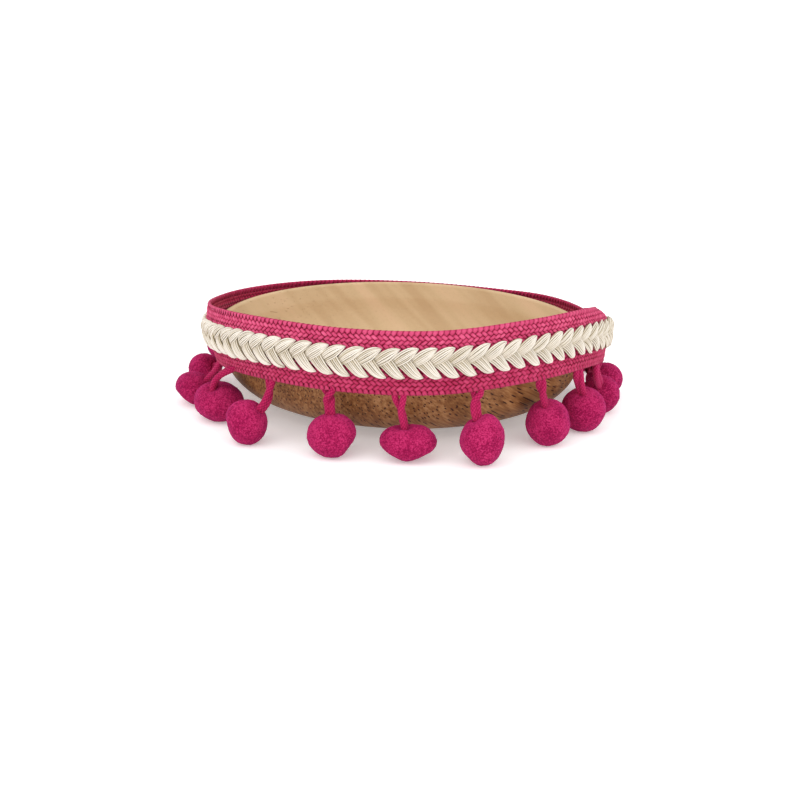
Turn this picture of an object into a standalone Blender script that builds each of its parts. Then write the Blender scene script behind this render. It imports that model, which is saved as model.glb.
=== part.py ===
"""Pompom trim looped once round a shallow turned wooden bowl.

The bowl stands on its flat foot at the origin, with +Z up and the front at -Y.
The trim is one flat braided strip with a cream plait along its outer face and a
row of pompoms on short cord loops along its lower edge.  The strip goes a little
more than once round the rim, its two ends overlap at the right, and it stands
higher at the front than at the back.  Lengths are in metres.
"""

import math
from collections import namedtuple

import bmesh
import bpy
import numpy as np
from mathutils import Matrix, Vector

MM = 0.001
GAP = 0.3 * MM

# ---- bowl ------------------------------------------------------------------
RIM_RADIUS = 57.8 * MM
BOWL_HEIGHT = 23.6 * MM
FOOT_RADIUS = 28.0 * MM
WALL = 3.6 * MM
FLOOR = 4.6 * MM
RIM_ROUNDING = 1.2 * MM
BOWL_STEPS = 64

# The outer side from under the rim to the foot: share of the height, radius in mm.
SidePoint = namedtuple("SidePoint", "height_share radius")
BOWL_SIDE = [
    SidePoint(0.80, 56.5),
    SidePoint(0.60, 55.2),
    SidePoint(0.42, 53.6),
    SidePoint(0.25, 49.8),
    SidePoint(0.12, 42.8),
    SidePoint(0.04, 33.6),
]

# ---- flat braided strip ----------------------------------------------------
TAPE_WIDTH = 17.7 * MM
TAPE_THICKNESS = 1.2 * MM
LEAN = math.radians(7.1)
RING_MIDDLE = Vector((0.3 * MM, 0.0, 0.0))
SECTION_STEP = 6.0
ROWS_DOWN = 4

# The path of the strip's upper edge.  Angle in degrees from the front, growing
# towards the right; reach is its radius and rise its height.  curl and tuck are
# how far the upper and the lower edge bend inwards from there.
Station = namedtuple("Station", "angle reach rise curl tuck")
PATH = [
    Station(88, 58.6, 27.3, 0.3, 1.0),
    Station(108, 58.7, 25.4, 0.3, 0.6),
    Station(128, 59.3, 24.5, 0.2, 0.2),
    Station(150, 59.6, 23.5, 0.0, 0.0),
    Station(180, 59.6, 23.3, 0.0, 0.0),
    Station(210, 60.1, 24.4, 0.0, 0.0),
    Station(240, 60.5, 26.0, 0.0, 1.0),
    Station(260, 60.4, 27.8, 0.2, 2.3),
    Station(280, 60.3, 30.7, 0.4, 3.2),
    Station(300, 60.6, 33.7, 0.2, 2.1),
    Station(320, 60.3, 35.6, 0.0, 0.8),
    Station(345, 60.0, 36.2, 0.0, 0.2),
    Station(370, 60.1, 36.6, 0.0, 0.0),
    Station(395, 60.7, 38.0, 0.0, 0.0),
    Station(420, 61.6, 37.2, 0.6, 0.4),
    Station(440, 62.3, 32.8, 1.8, 0.9),
    Station(455, 62.8, 28.6, 0.7, 1.0),
    Station(465.5, 62.9, 26.3, 0.4, 0.6),
]

# ---- cream plait -----------------------------------------------------------
PLAIT_WIDTH = 8.6 * MM
PLAIT_THICKNESS = 1.6 * MM
PLAIT_ROUNDING = 0.7 * MM
PLAIT_CLEARANCE = 0.37 * MM

# ---- cord loops and pompoms ------------------------------------------------
CORD_DIAMETER = 1.8 * MM
LEG_SPACING = 2.3 * MM
ROOT_CLEARANCE = 0.85 * MM
LEG_POINTS = 5
LEG_STEP = 1.2 * MM
TURN_POINTS = 2
FLAT_SPOT = 0.25 * MM
POMPOM_SEGMENTS = 12
POMPOM_RINGS = 8

# One row for each pompom, from the strip's inner end to its outer end.  root is
# where its loop leaves the lower edge, angle and reach where the pompom lies,
# then its three sizes in mm and its turn about the upright axis in degrees.  out
# and side tip the point where the loop enters it outwards and along the strip.
Pompom = namedtuple("Pompom", "root angle reach width depth height turn out side")
POMPOMS = [
    Pompom(114.0, 120.0, 70.0, 12.4, 12.0, 12.2, 10, 0.0, 0.0),
    Pompom(133.5, 135.0, 71.5, 12.8, 12.4, 12.4, 40, 0.0, 0.0),
    Pompom(153.0, 153.0, 71.8, 12.2, 13.0, 12.6, 0, 0.0, 0.0),
    Pompom(172.5, 171.0, 71.4, 13.4, 12.2, 12.0, 25, 0.0, 0.0),
    Pompom(192.0, 189.0, 71.6, 12.6, 12.6, 12.8, 60, 0.0, 0.0),
    Pompom(211.5, 207.0, 71.2, 12.0, 13.2, 12.0, 15, 0.0, 0.0),
    Pompom(231.0, 225.0, 71.4, 13.0, 12.0, 12.6, 0, 0.0, 0.0),
    Pompom(250.5, 239.5, 69.0, 12.4, 12.8, 12.2, 30, 0.0, 0.0),
    Pompom(271.5, 263.4, 63.6, 9.6, 9.9, 10.1, 0, 0.0, 0.0),
    Pompom(288.0, 282.8, 65.3, 13.2, 11.4, 10.0, 0, 0.0, 0.0),
    Pompom(305.5, 298.8, 61.8, 16.8, 14.5, 11.6, 0, 0.4, 0.0),
    Pompom(321.0, 319.3, 67.4, 11.8, 12.1, 12.8, 0, 0.0, 0.0),
    Pompom(340.0, 342.4, 63.1, 14.0, 12.9, 12.7, 0, 0.0, 0.0),
    Pompom(359.2, 361.9, 62.2, 16.1, 11.6, 10.4, 0, 0.0, 0.0),
    Pompom(380.3, 379.4, 67.4, 12.4, 12.4, 15.1, 0, 0.1, -0.2),
    Pompom(400.2, 403.4, 61.3, 12.9, 12.8, 13.6, 0, 0.0, 0.0),
    Pompom(416.8, 420.3, 61.9, 13.2, 13.2, 13.6, 0, 0.0, 0.0),
    Pompom(432.5, 439.4, 62.2, 11.2, 11.5, 11.7, 0, 0.0, 0.0),
    Pompom(447.5, 456.5, 64.8, 11.6, 12.2, 10.6, 0, 0.4, 0.0),
]


def clear_scene():
    """Start from an empty scene."""
    for item in list(bpy.data.objects):
        bpy.data.objects.remove(item, do_unlink=True)


def make_collection(name):
    """Return a new collection in the scene."""
    collection = bpy.data.collections.new(name)
    bpy.context.scene.collection.children.link(collection)
    return collection


def make_material(name, color, roughness):
    """Return a material with one Principled shader."""
    material = bpy.data.materials.new(name)
    material.use_nodes = True
    shader = material.node_tree.nodes["Principled BSDF"]
    shader.inputs["Base Color"].default_value = (*color, 1.0)
    shader.inputs["Roughness"].default_value = roughness
    shader.inputs["Metallic"].default_value = 0.0
    return material


def add_object(name, data, material, collection):
    """Link a new object with its material to the collection."""
    item = bpy.data.objects.new(name, data)
    data.materials.append(material)
    collection.objects.link(item)
    return item


def smooth(mesh, limit=40.0):
    """Shade a mesh smooth, apart from edges sharper than the limit in degrees."""
    mesh.shade_smooth()
    mesh.set_sharp_from_angle(angle=math.radians(limit))


# ---- bowl ------------------------------------------------------------------
def bowl_profile():
    """Return the bowl's half section as (radius, height), closed on the axis."""
    side = [(point.radius * MM, point.height_share * BOWL_HEIGHT) for point in BOWL_SIDE]
    inner_wall = [(radius - WALL, height) for radius, height in side if height > 2 * FLOOR]
    inner_floor = [(0.62 * RIM_RADIUS, FLOOR), (0.80 * RIM_RADIUS, FLOOR + 2.2 * MM)]
    rim_center = (RIM_RADIUS - RIM_ROUNDING, BOWL_HEIGHT - RIM_ROUNDING)
    rim = []
    for step in range(5):
        angle = math.radians(180 - 45 * step)
        rim.append(
            (
                rim_center[0] + RIM_ROUNDING * math.cos(angle),
                rim_center[1] + RIM_ROUNDING * math.sin(angle),
            )
        )
    foot = [(FOOT_RADIUS, 0.0), (0.0, 0.0)]
    return [(0.0, FLOOR)] + inner_floor + inner_wall[::-1] + rim + side + foot


def build_bowl(material, collection):
    """Turn the bowl's half section about the upright axis."""
    mesh = bpy.data.meshes.new("bowl")
    outline = bmesh.new()
    points = [outline.verts.new((radius, 0.0, height)) for radius, height in bowl_profile()]
    for start, end in zip(points, points[1:]):
        outline.edges.new((start, end))
    outline.to_mesh(mesh)
    outline.free()
    bowl = add_object("bowl", mesh, material, collection)
    screw = bowl.modifiers.new("turning", "SCREW")
    screw.axis = "Z"
    screw.angle = math.tau
    screw.steps = BOWL_STEPS
    screw.render_steps = BOWL_STEPS
    screw.use_merge_vertices = True
    screw.merge_threshold = 0.00005
    screw.use_smooth_shade = True
    return bowl


# ---- the strip's path ------------------------------------------------------
def path_value(angle, column):
    """Return one column of PATH at an angle, on a smooth curve through its rows."""
    angles = np.array([station.angle for station in PATH], dtype=float)
    values = np.array([getattr(station, column) for station in PATH], dtype=float)
    slopes = np.gradient(values, angles)
    index = int(np.clip(np.searchsorted(angles, angle) - 1, 0, len(PATH) - 2))
    span = angles[index + 1] - angles[index]
    share = (angle - angles[index]) / span
    square, cube = share**2, share**3
    return float(
        (2 * cube - 3 * square + 1) * values[index]
        + (cube - 2 * square + share) * span * slopes[index]
        + (3 * square - 2 * cube) * values[index + 1]
        + (cube - square) * span * slopes[index + 1]
    )


def down_the_strip():
    """Return the direction from the strip's upper edge to its lower edge."""
    return Vector((0.0, -math.sin(LEAN), -math.cos(LEAN)))


def outwards_at(angle):
    """Return the level unit direction away from the axis at an angle."""
    turn = math.radians(angle)
    return Vector((math.sin(turn), -math.cos(turn), 0.0))


def strip_point(angle, outwards=0.0, down=0.0):
    """Return a point of the strip: an angle, a distance outwards, a distance down."""
    share = 2 * down / TAPE_WIDTH - 1
    curl = path_value(angle, "curl") * MM * min(share, 0) ** 2
    tuck = path_value(angle, "tuck") * MM * max(share, 0)
    reach = path_value(angle, "reach") * MM + outwards - curl - tuck
    rise = path_value(angle, "rise") * MM
    return RING_MIDDLE + reach * outwards_at(angle) + Vector((0, 0, rise)) + down * down_the_strip()


def along_lower_edge(angle):
    """Return the unit direction in which the strip's lower edge runs at an angle."""
    ahead = strip_point(angle + 0.5, 0.0, TAPE_WIDTH)
    behind = strip_point(angle - 0.5, 0.0, TAPE_WIDTH)
    return (ahead - behind).normalized()


def strip_surface(name, outwards, down, width, rows):
    """Return an open strip: a flat grid laid along the path, some rows deep."""
    first, last = PATH[0].angle, PATH[-1].angle
    columns = round((last - first) / SECTION_STEP)
    surface = bmesh.new()
    bmesh.ops.create_grid(surface, x_segments=columns, y_segments=rows, size=0.5)
    for vert in surface.verts:
        angle = first + (vert.co.x + 0.5) * (last - first)
        vert.co = strip_point(angle, outwards, down + (0.5 - vert.co.y) * width)
    mesh = bpy.data.meshes.new(name)
    surface.to_mesh(mesh)
    surface.free()
    return mesh


def thicken(item, thickness, offset):
    """Give an open strip its thickness: offset 0 about its middle, 1 outwards."""
    solidify = item.modifiers.new("thickness", "SOLIDIFY")
    solidify.thickness = thickness
    solidify.offset = offset
    solidify.use_even_offset = True
    return solidify


def build_ground_braid(material, collection):
    """Make the flat braided strip."""
    mesh = strip_surface("ground_braid", 0.0, 0.0, TAPE_WIDTH, ROWS_DOWN)
    smooth(mesh)
    braid = add_object("ground_braid", mesh, material, collection)
    thicken(braid, TAPE_THICKNESS, 0.0)
    return braid


def build_plait(material, collection):
    """Make the raised plait along the middle of the strip's outer face."""
    outwards = TAPE_THICKNESS / 2 + PLAIT_CLEARANCE
    edge = (TAPE_WIDTH - PLAIT_WIDTH) / 2
    mesh = strip_surface("cream_plait", outwards, edge, PLAIT_WIDTH, ROWS_DOWN // 2)
    plait = add_object("cream_plait", mesh, material, collection)
    thicken(plait, PLAIT_THICKNESS, 1.0)
    rounding = plait.modifiers.new("rounding", "BEVEL")
    rounding.width = PLAIT_ROUNDING
    rounding.segments = 1
    rounding.limit_method = "ANGLE"
    rounding.angle_limit = math.radians(50)
    return plait


# ---- pompoms and their loops -----------------------------------------------
def pompom_center(row):
    """Return the middle of a pompom that rests on the surface."""
    level = row.height * MM / 2 - FLAT_SPOT
    return RING_MIDDLE + row.reach * MM * outwards_at(row.angle) + Vector((0, 0, level))


def build_pompom(name, row, material, collection):
    """Make one pompom: a ball of its own three sizes with a small flat spot."""
    ball = bmesh.new()
    bmesh.ops.create_uvsphere(
        ball, u_segments=POMPOM_SEGMENTS, v_segments=POMPOM_RINGS, radius=0.5
    )
    sizes = Matrix.Diagonal((row.width * MM, row.depth * MM, row.height * MM, 1.0))
    turn = Matrix.Rotation(math.radians(row.angle + row.turn), 4, "Z")
    bmesh.ops.transform(ball, matrix=turn @ sizes, verts=ball.verts[:])
    center = pompom_center(row)
    cut = bmesh.ops.bisect_plane(
        ball,
        geom=ball.verts[:] + ball.edges[:] + ball.faces[:],
        plane_co=(0.0, 0.0, -center.z),
        plane_no=(0.0, 0.0, -1.0),
        clear_outer=True,
    )
    rim = [item for item in cut["geom_cut"] if isinstance(item, bmesh.types.BMEdge)]
    bmesh.ops.contextual_create(ball, geom=rim)
    bmesh.ops.recalc_face_normals(ball, faces=ball.faces[:])
    mesh = bpy.data.meshes.new(name)
    ball.to_mesh(mesh)
    ball.free()
    smooth(mesh, 50.0)
    pompom = add_object(name, mesh, material, collection)
    pompom.location = center
    return pompom


def pompom_seat(row, clearance):
    """Return the point of a pompom that faces its loop, a clearance outside it."""
    center = pompom_center(row)
    root = strip_point(row.root, 0.0, TAPE_WIDTH)
    turn = Matrix.Rotation(math.radians(row.angle + row.turn), 3, "Z")
    sizes = Vector((row.width, row.depth, row.height)) * (MM / 2)
    tip = row.out * outwards_at(row.angle) + row.side * along_lower_edge(row.root)
    towards = turn.transposed() @ ((root - center).normalized() + tip)
    scaled = Vector(value / size for value, size in zip(towards, sizes))
    surface = Vector(value * size for value, size in zip(scaled.normalized(), sizes))
    slope = Vector(value / size**2 for value, size in zip(surface, sizes)).normalized()
    return center + turn @ (surface + clearance * slope), (turn @ slope).normalized()


def leg_route(row):
    """Return the points midway between a loop's two legs, from the strip down."""
    slope = abs(along_lower_edge(row.root).dot(down_the_strip()))
    clearance = ROOT_CLEARANCE + slope * (LEG_SPACING + CORD_DIAMETER) / 2
    start = strip_point(row.root, 0.0, TAPE_WIDTH) + clearance * down_the_strip()
    seat, outwards = pompom_seat(row, GAP + CORD_DIAMETER / 2 + LEG_SPACING / 2)
    reach = (seat - start).length
    controls = [
        start,
        start + 0.55 * reach * down_the_strip(),
        seat + 0.35 * reach * outwards,
        seat,
    ]
    steps = max(2, min(LEG_POINTS - 1, round(reach / LEG_STEP)))
    points = []
    for step in range(steps + 1):
        share = step / steps
        weights = [
            (1 - share) ** 3,
            3 * share * (1 - share) ** 2,
            3 * share**2 * (1 - share),
            share**3,
        ]
        points.append(sum((w * c for w, c in zip(weights, controls)), Vector()))
    return points, -outwards


def loop_points(row):
    """Return the loop's middle line: down one leg, round the turn and up the other."""
    middle, inwards = leg_route(row)
    side = along_lower_edge(row.root)
    half = LEG_SPACING / 2
    near_leg, far_leg = [], []
    for index, point in enumerate(middle):
        last = index == len(middle) - 1
        tangent = inwards if last else (middle[index + 1] - point).normalized()
        side = (side - side.dot(tangent) * tangent).normalized()
        near_leg.append(point - half * side)
        far_leg.append(point + half * side)
    turn = []
    for step in range(1, TURN_POINTS + 1):
        angle = math.pi * step / (TURN_POINTS + 1)
        turn.append(middle[-1] - half * math.cos(angle) * side + half * math.sin(angle) * inwards)
    return near_leg + turn + far_leg[::-1]


def build_loop(name, row, material, collection):
    """Make one cord loop between the strip's lower edge and its pompom."""
    curve = bpy.data.curves.new(name, "CURVE")
    curve.dimensions = "3D"
    curve.bevel_depth = CORD_DIAMETER / 2
    curve.bevel_resolution = 2
    curve.use_fill_caps = True
    points = loop_points(row)
    spline = curve.splines.new("POLY")
    spline.points.add(len(points) - 1)
    for slot, point in zip(spline.points, points):
        slot.co = (*point, 1.0)
    return add_object(name, curve, material, collection)


def main():
    """Build every piece."""
    clear_scene()
    collection = make_collection("pompom_trim_on_bowl")
    wood = make_material("bowl wood", (0.40, 0.23, 0.11), 0.55)
    braid = make_material("pink braid", (0.62, 0.06, 0.18), 0.85)
    cotton = make_material("cream cotton", (0.78, 0.74, 0.63), 0.9)
    cord = make_material("magenta cord", (0.50, 0.01, 0.10), 0.85)
    felt = make_material("magenta felt", (0.52, 0.02, 0.13), 0.95)
    build_bowl(wood, collection)
    build_ground_braid(braid, collection)
    build_plait(cotton, collection)
    for number, row in enumerate(POMPOMS, start=1):
        build_loop(f"hanging_loop_{number:02d}", row, cord, collection)
        build_pompom(f"pompom_{number:02d}", row, felt, collection)


main()
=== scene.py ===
"""Looks for a pompom trim that is looped once round a shallow turned wooden bowl.

The strip, its plait, its cord loops and its felt pompoms are soft goods and are made
from arrays of small closed shapes; the bowl is turned with Blender's own operators.
Lengths are in metres unless a docstring says millimetres. Angles round the bowl are in
degrees from the front, rise to the right, and pass 360 where the strip overlaps itself.
"""

import logging
import math
from collections.abc import Sequence
from dataclasses import dataclass, field
from enum import Enum

import bmesh
import bpy
import numpy as np
from mathutils import Matrix, Vector, noise


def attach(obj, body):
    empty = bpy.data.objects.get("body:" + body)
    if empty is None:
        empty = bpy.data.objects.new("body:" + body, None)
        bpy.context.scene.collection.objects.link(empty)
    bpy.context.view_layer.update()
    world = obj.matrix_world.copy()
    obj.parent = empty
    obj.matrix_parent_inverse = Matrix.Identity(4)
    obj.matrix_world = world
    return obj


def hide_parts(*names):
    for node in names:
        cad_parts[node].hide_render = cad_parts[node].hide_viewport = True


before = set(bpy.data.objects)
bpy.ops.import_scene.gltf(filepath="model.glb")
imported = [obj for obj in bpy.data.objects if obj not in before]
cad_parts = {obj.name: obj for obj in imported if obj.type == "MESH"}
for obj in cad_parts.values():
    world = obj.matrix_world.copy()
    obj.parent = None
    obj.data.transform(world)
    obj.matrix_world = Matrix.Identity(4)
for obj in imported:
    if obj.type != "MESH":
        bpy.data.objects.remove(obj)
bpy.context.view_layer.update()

logging.basicConfig(level=logging.INFO, format="%(message)s")
LOG = logging.getLogger("pompom_trim")

MM = 0.001
BODY = "root"
UP = np.array([0.0, 0.0, 1.0])
WHITE = (1.0, 1.0, 1.0, 1.0)
Color = tuple[float, float, float, float]
Colors = tuple[Color, ...]
Floats = tuple[float, ...]
Triple = tuple[float, float, float]
Pairs = tuple[tuple[float, float], ...]
Array = np.ndarray
Piece = bpy.types.Object
Material = bpy.types.Material
Socket = bpy.types.NodeSocket


class Slot(Enum):
    """The record's material slots."""

    BOWL_WOOD = "bowl_wood"
    PINK_BRAID = "pink_braid"
    CREAM_COTTON = "cream_cotton"
    MAGENTA_CORD = "magenta_cord"
    MAGENTA_FELT = "magenta_felt"


class Slant(Enum):
    """Which way a stitch leans as the strip runs to the right."""

    RISING = -1
    FALLING = 1


class Side(Enum):
    """A face of the strip."""

    OUTER = 1
    INNER = -1


class Edge(Enum):
    """A long edge of the strip."""

    UPPER = -1
    LOWER = 1


# ---- materials -------------------------------------------------------------
def paints(codes: str) -> Colors:
    """Turn paint codes into linear colors.

    Args:
        codes: Codes of six hexadecimal digits, two each for red, green and blue.

    Returns:
        The colors with full opacity.
    """
    colors = []
    for code in codes.split():
        parts = (int(code[start : start + 2], 16) / 255 for start in (0, 2, 4))
        linear = (
            part / 12.92 if part <= 0.04045 else ((part + 0.055) / 1.055) ** 2.4
            for part in parts
        )
        colors.append((*linear, 1.0))
    return tuple(colors)


class Shading:
    """Joins up the nodes of one material."""

    def __init__(self, name: str, constants: dict[str, float | Color]) -> None:
        """Start a material with one Principled shader.

        Args:
            name: The material's name.
            constants: Numbers and colors that are the same all over, by socket.
        """
        self.material = bpy.data.materials.new(name)
        self.material.use_nodes = True
        self.nodes = self.material.node_tree.nodes
        self.links = self.material.node_tree.links
        self.shader = self.nodes["Principled BSDF"]
        for socket, value in constants.items():
            self.shader.inputs[socket].default_value = value

    @classmethod
    def cloth(cls, finish: "YarnFinish | FeltFinish") -> "Shading":
        """Start the material of a cloth with its sheen."""
        constants = {
            "Roughness": finish.roughness,
            "Sheen Weight": finish.sheen,
            "Sheen Roughness": finish.sheen_roughness,
            "Sheen Tint": finish.sheen_tint,
            "Specular IOR Level": finish.gloss,
        }
        return cls(finish.name, constants)

    def add(
        self, kind: str, inputs: dict[str | int, object], **settings: object
    ) -> bpy.types.Node:
        """Add a node.

        Args:
            kind: The node's type without its common prefix.
            inputs: Values or sockets for the node's inputs, by name or place.
            settings: Values for the node's own properties.

        Returns:
            The new node.
        """
        node = self.nodes.new("ShaderNode" + kind)
        for name, value in settings.items():
            setattr(node, name, value)
        for name, value in inputs.items():
            if isinstance(value, Socket):
                self.links.new(value, node.inputs[name])
            else:
                node.inputs[name].default_value = value
        return node

    def place(
        self, cell: Sequence[float], along: Sequence[float] = (), side: str = "X"
    ) -> Socket:
        """Return Object coordinates in cells of a given size.

        Args:
            cell: The cell's three sizes.
            along: The direction of one of the cell's sides, or nothing for no turn.
            side: Which of its sides that is.

        Returns:
            The socket that gives the place.
        """
        turn = (0.0, 0.0, 0.0)
        if along:
            turn = Vector(along).normalized().to_track_quat(side, "Y").to_euler()
        place = self.add("TexCoord", {}).outputs["Object"]
        inputs = {"Vector": place, "Rotation": turn, "Scale": cell}
        return self.add("Mapping", inputs, vector_type="TEXTURE").outputs["Vector"]

    def noise(self, place: Socket, detail: float = 2.0, rough: float = 0.5) -> Socket:
        """Return a soft noise of about one cell."""
        inputs = {"Vector": place, "Scale": 1.0, "Detail": detail, "Roughness": rough}
        return self.add("TexNoise", inputs).outputs[0]

    def specks(self, size: float, detail: float = 2.0, rough: float = 0.5) -> Socket:
        """Return a soft noise with specks as long as they are wide."""
        return self.noise(self.place((size, size, size)), detail, rough)

    def ramp(self, value: Socket, stops: Sequence[float], colors: Sequence[Color]) -> Socket:
        """Return colors that change with a value.

        Args:
            value: The socket that gives the value.
            stops: A place from 0 to 1 for each color.
            colors: The colors.

        Returns:
            The socket that gives the color.
        """
        node = self.add("ValToRGB", {"Fac": value})
        elements = node.color_ramp.elements
        while len(elements) < len(stops):
            elements.new(0.5)
        for element, stop, color in zip(elements, stops, colors):
            element.position = stop
            element.color = color
        return node.outputs["Color"]

    def between(
        self, value: Socket, low: float, high: float, start: float, end: float
    ) -> Socket:
        """Return a value stretched from one range to another, and kept inside it."""
        inputs = {"Value": value, 1: low, 2: high, 3: start, 4: end}
        return self.add("MapRange", inputs).outputs[0]

    def rise(self, top: float, start: float, end: float) -> Socket:
        """Return a value that goes from one number on the ground to another at the top."""
        place = self.add("SeparateXYZ", {0: self.place((1.0, 1.0, 1.0))})
        return self.between(place.outputs["Z"], 0.0, top, start, end)

    def mix(self, share: Socket | float, first: Socket, second: Socket | Color) -> Socket:
        """Return two colors or values mixed by the second's share."""
        inputs = {0: share, 6: first, 7: second}
        return self.add("Mix", inputs, data_type="RGBA").outputs[2]

    def total(self, *parts: tuple[Socket, Socket | float]) -> Socket:
        """Add values up.

        Args:
            parts: The values, each with the weight that it is multiplied by.

        Returns:
            The socket that gives the sum.
        """
        result: Socket | float = 0.0
        for value, weight in parts:
            inputs = {0: value, 1: weight, 2: result}
            result = self.add("Math", inputs, operation="MULTIPLY_ADD").outputs[0]
        return result

    def attribute(self, name: str) -> Socket:
        """Return a value that the piece's mesh holds."""
        return self.add("Attribute", {}, attribute_name=name).outputs["Fac"]

    def finish(self, color: Socket, height: Socket, relief: float) -> Material:
        """Join the color and the relief to the shader.

        Args:
            color: The surface's color.
            height: The surface's relief from 0 to 1.
            relief: How deep the relief is.

        Returns:
            The finished material.
        """
        bump = self.add("Bump", {"Strength": 1.0, "Distance": relief, "Height": height})
        self.links.new(color, self.shader.inputs["Base Color"])
        self.links.new(bump.outputs["Normal"], self.shader.inputs["Normal"])
        return self.material


@dataclass(frozen=True)
class WoodFinish:
    """Oiled hardwood with long fibres and pores in short dashes.

    Its colors are those of the dark, the middle and the pale wood and of a pore.
    """

    name: str
    colors: Colors
    pore_cell: float
    pore_size: float
    foot_shade: float
    fine_share: float
    fibre: Triple = (0.62, 0.74, -0.26)
    layers: Triple = (0.706, 0.206, 0.677)
    layer_cell: Triple = (60 * MM, 60 * MM, 6 * MM)
    fibre_cell: Triple = (30 * MM, 0.75 * MM, 0.75 * MM)
    dash_cell: Triple = (2.2 * MM, 0.8 * MM, 0.8 * MM)
    dash_ends: tuple[float, float] = (0.40, 0.45)
    stops: Floats = (0.36, 0.50, 0.64)
    pore_core: float = 0.72
    shade_height: float = 20 * MM
    relief: float = 0.12 * MM
    fibre_relief: float = 0.35
    gloss: float = 0.22
    roughness: float = 0.55

    def material(self) -> Material:
        """Make the wood.

        Returns:
            The material.
        """
        constants = {"Roughness": self.roughness, "Specular IOR Level": self.gloss}
        shading = Shading(self.name, constants)
        *tones, pore = self.colors
        broad = shading.noise(shading.place(self.layer_cell, self.layers, "Z"))
        fine = shading.noise(shading.place(self.fibre_cell, self.fibre), 4.0, rough=0.6)
        wood = shading.ramp(shading.mix(self.fine_share, broad, fine), self.stops, tones)
        cells = shading.place((self.pore_cell, self.pore_cell, 1.0), self.fibre, "Z")
        inputs = {"Vector": cells, "Scale": 1.0, "Randomness": 1.0}
        spots = shading.add("TexVoronoi", inputs, voronoi_dimensions="2D").outputs["Distance"]
        size = self.pore_size
        lines = shading.between(spots, self.pore_core * size, size, 1.0, 0.0)
        dashes = shading.noise(shading.place(self.dash_cell, self.fibre), 1.0)
        pores = shading.total((lines, shading.between(dashes, *self.dash_ends, 0.0, 1.0)))
        wood = shading.mix(pores, wood, pore)
        shade = shading.rise(self.shade_height, self.foot_shade, 0.0)
        height = shading.total((fine, self.fibre_relief), (pores, -1.0))
        return shading.finish(shading.mix(shade, wood, pore), height, self.relief)


@dataclass(frozen=True)
class YarnFinish:
    """Fine yarn whose fibres follow each stitch or thread.

    Its colors go from the deep places to the bright ones. The shares say how much the
    thread's own tone, its fibres, its specks and its painted light and shade count for the
    color.
    """

    name: str
    colors: Colors
    fibres: float
    relief: float
    speck: float = 0.5 * MM
    tone_share: float = 0.14
    fibre_share: float = 0.18
    speck_share: float = 0.18
    painted_light_share: float = 0.50
    speck_relief: float = 0.6
    stops: Floats = (0.24, 0.46, 0.66, 0.88)
    sheen: float = 0.12
    sheen_roughness: float = 0.5
    sheen_tint: Color = (1.0, 0.9, 0.92, 1.0)
    gloss: float = 0.1
    roughness: float = 0.85

    def material(self) -> Material:
        """Make the yarn.

        Returns:
            The material.
        """
        shading = Shading.cloth(self)
        thread = shading.add("UVMap", {}, uv_map="thread").outputs["UV"]
        inputs = {"Vector": thread, "Scale": (0.7, self.fibres, 1.0)}
        drawn = shading.add("Mapping", inputs).outputs["Vector"]
        fibres = shading.noise(drawn, 2.0, 0.6)
        specks = shading.specks(self.speck, 3.0, 0.7)
        level = shading.total(
            (shading.attribute("tone"), self.tone_share),
            (specks, self.speck_share),
            (fibres, self.fibre_share),
            # Painted light: painted highlight on crests and lit sides, painted shade in gaps.
            (shading.attribute("painted_light"), self.painted_light_share),
        )
        color = shading.ramp(level, self.stops, self.colors)
        height = shading.total((fibres, 1.0), (specks, self.speck_relief))
        return shading.finish(color, height, self.relief)


@dataclass(frozen=True)
class FeltFinish:
    """Dense napped felt: tight specks with a soft bloom towards the outline.

    The shares are those of the nap, the tufts and the patches in its color.
    """

    name: str
    colors: Colors
    nap: float = 0.42 * MM
    tuft: float = 0.9 * MM
    patch: float = 5.0 * MM
    stops: Floats = (0.42, 0.50, 0.58)
    shade: float = 0.04
    shade_height: float = 15 * MM
    shares: Triple = (0.65, 0.20, 0.15)
    sheen: float = 0.20
    sheen_roughness: float = 0.40
    sheen_tint: Color = (0.80, 0.10, 0.62, 1.0)
    gloss: float = 0.1
    relief: float = 0.22 * MM
    tuft_relief: float = 0.7
    roughness: float = 0.95

    def material(self) -> Material:
        """Make the felt.

        Returns:
            The material.
        """
        shading = Shading.cloth(self)
        nap, tufts = shading.specks(self.nap, rough=0.7), shading.specks(self.tuft)
        layers = (nap, tufts, shading.specks(self.patch, 1.0))
        shade = shading.rise(self.shade_height, -self.shade, self.shade)
        level = shading.total(*zip(layers, self.shares), (shade, 1.0))
        color = shading.ramp(level, self.stops, self.colors)
        height = shading.total((nap, 1.0), (tufts, self.tuft_relief))
        return shading.finish(color, height, self.relief)


@dataclass(frozen=True)
class FloorFinish:
    """Matt white paper."""

    name: str = "white_paper"
    colors: Colors = ((0.90, 0.90, 0.90, 1.0), (0.92, 0.92, 0.92, 1.0))
    glow: float = 0.30
    grain: float = 3 * MM
    relief: float = 0.02 * MM
    roughness: float = 0.9

    def material(self) -> Material:
        """Make the paper.

        Returns:
            The material.
        """
        constants = {
            "Roughness": self.roughness,
            "Emission Color": WHITE,
            "Emission Strength": self.glow,
        }
        shading = Shading(self.name, constants)
        grain = shading.specks(self.grain, 3.0)
        color = shading.ramp(grain, (0.0, 1.0), self.colors)
        return shading.finish(color, grain, self.relief)


# ---- lines and meshes from arrays ------------------------------------------
def unit(vectors: Array) -> Array:
    """Return vectors scaled to a length of one."""
    return vectors / np.maximum(np.linalg.norm(vectors, axis=-1, keepdims=True), 1e-12)


def run_lengths(line: Array) -> Array:
    """Return how far along a line each of its points lies."""
    steps = np.linalg.norm(np.diff(line, axis=0), axis=1)
    return np.concatenate([[0.0], np.cumsum(steps)])


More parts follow.
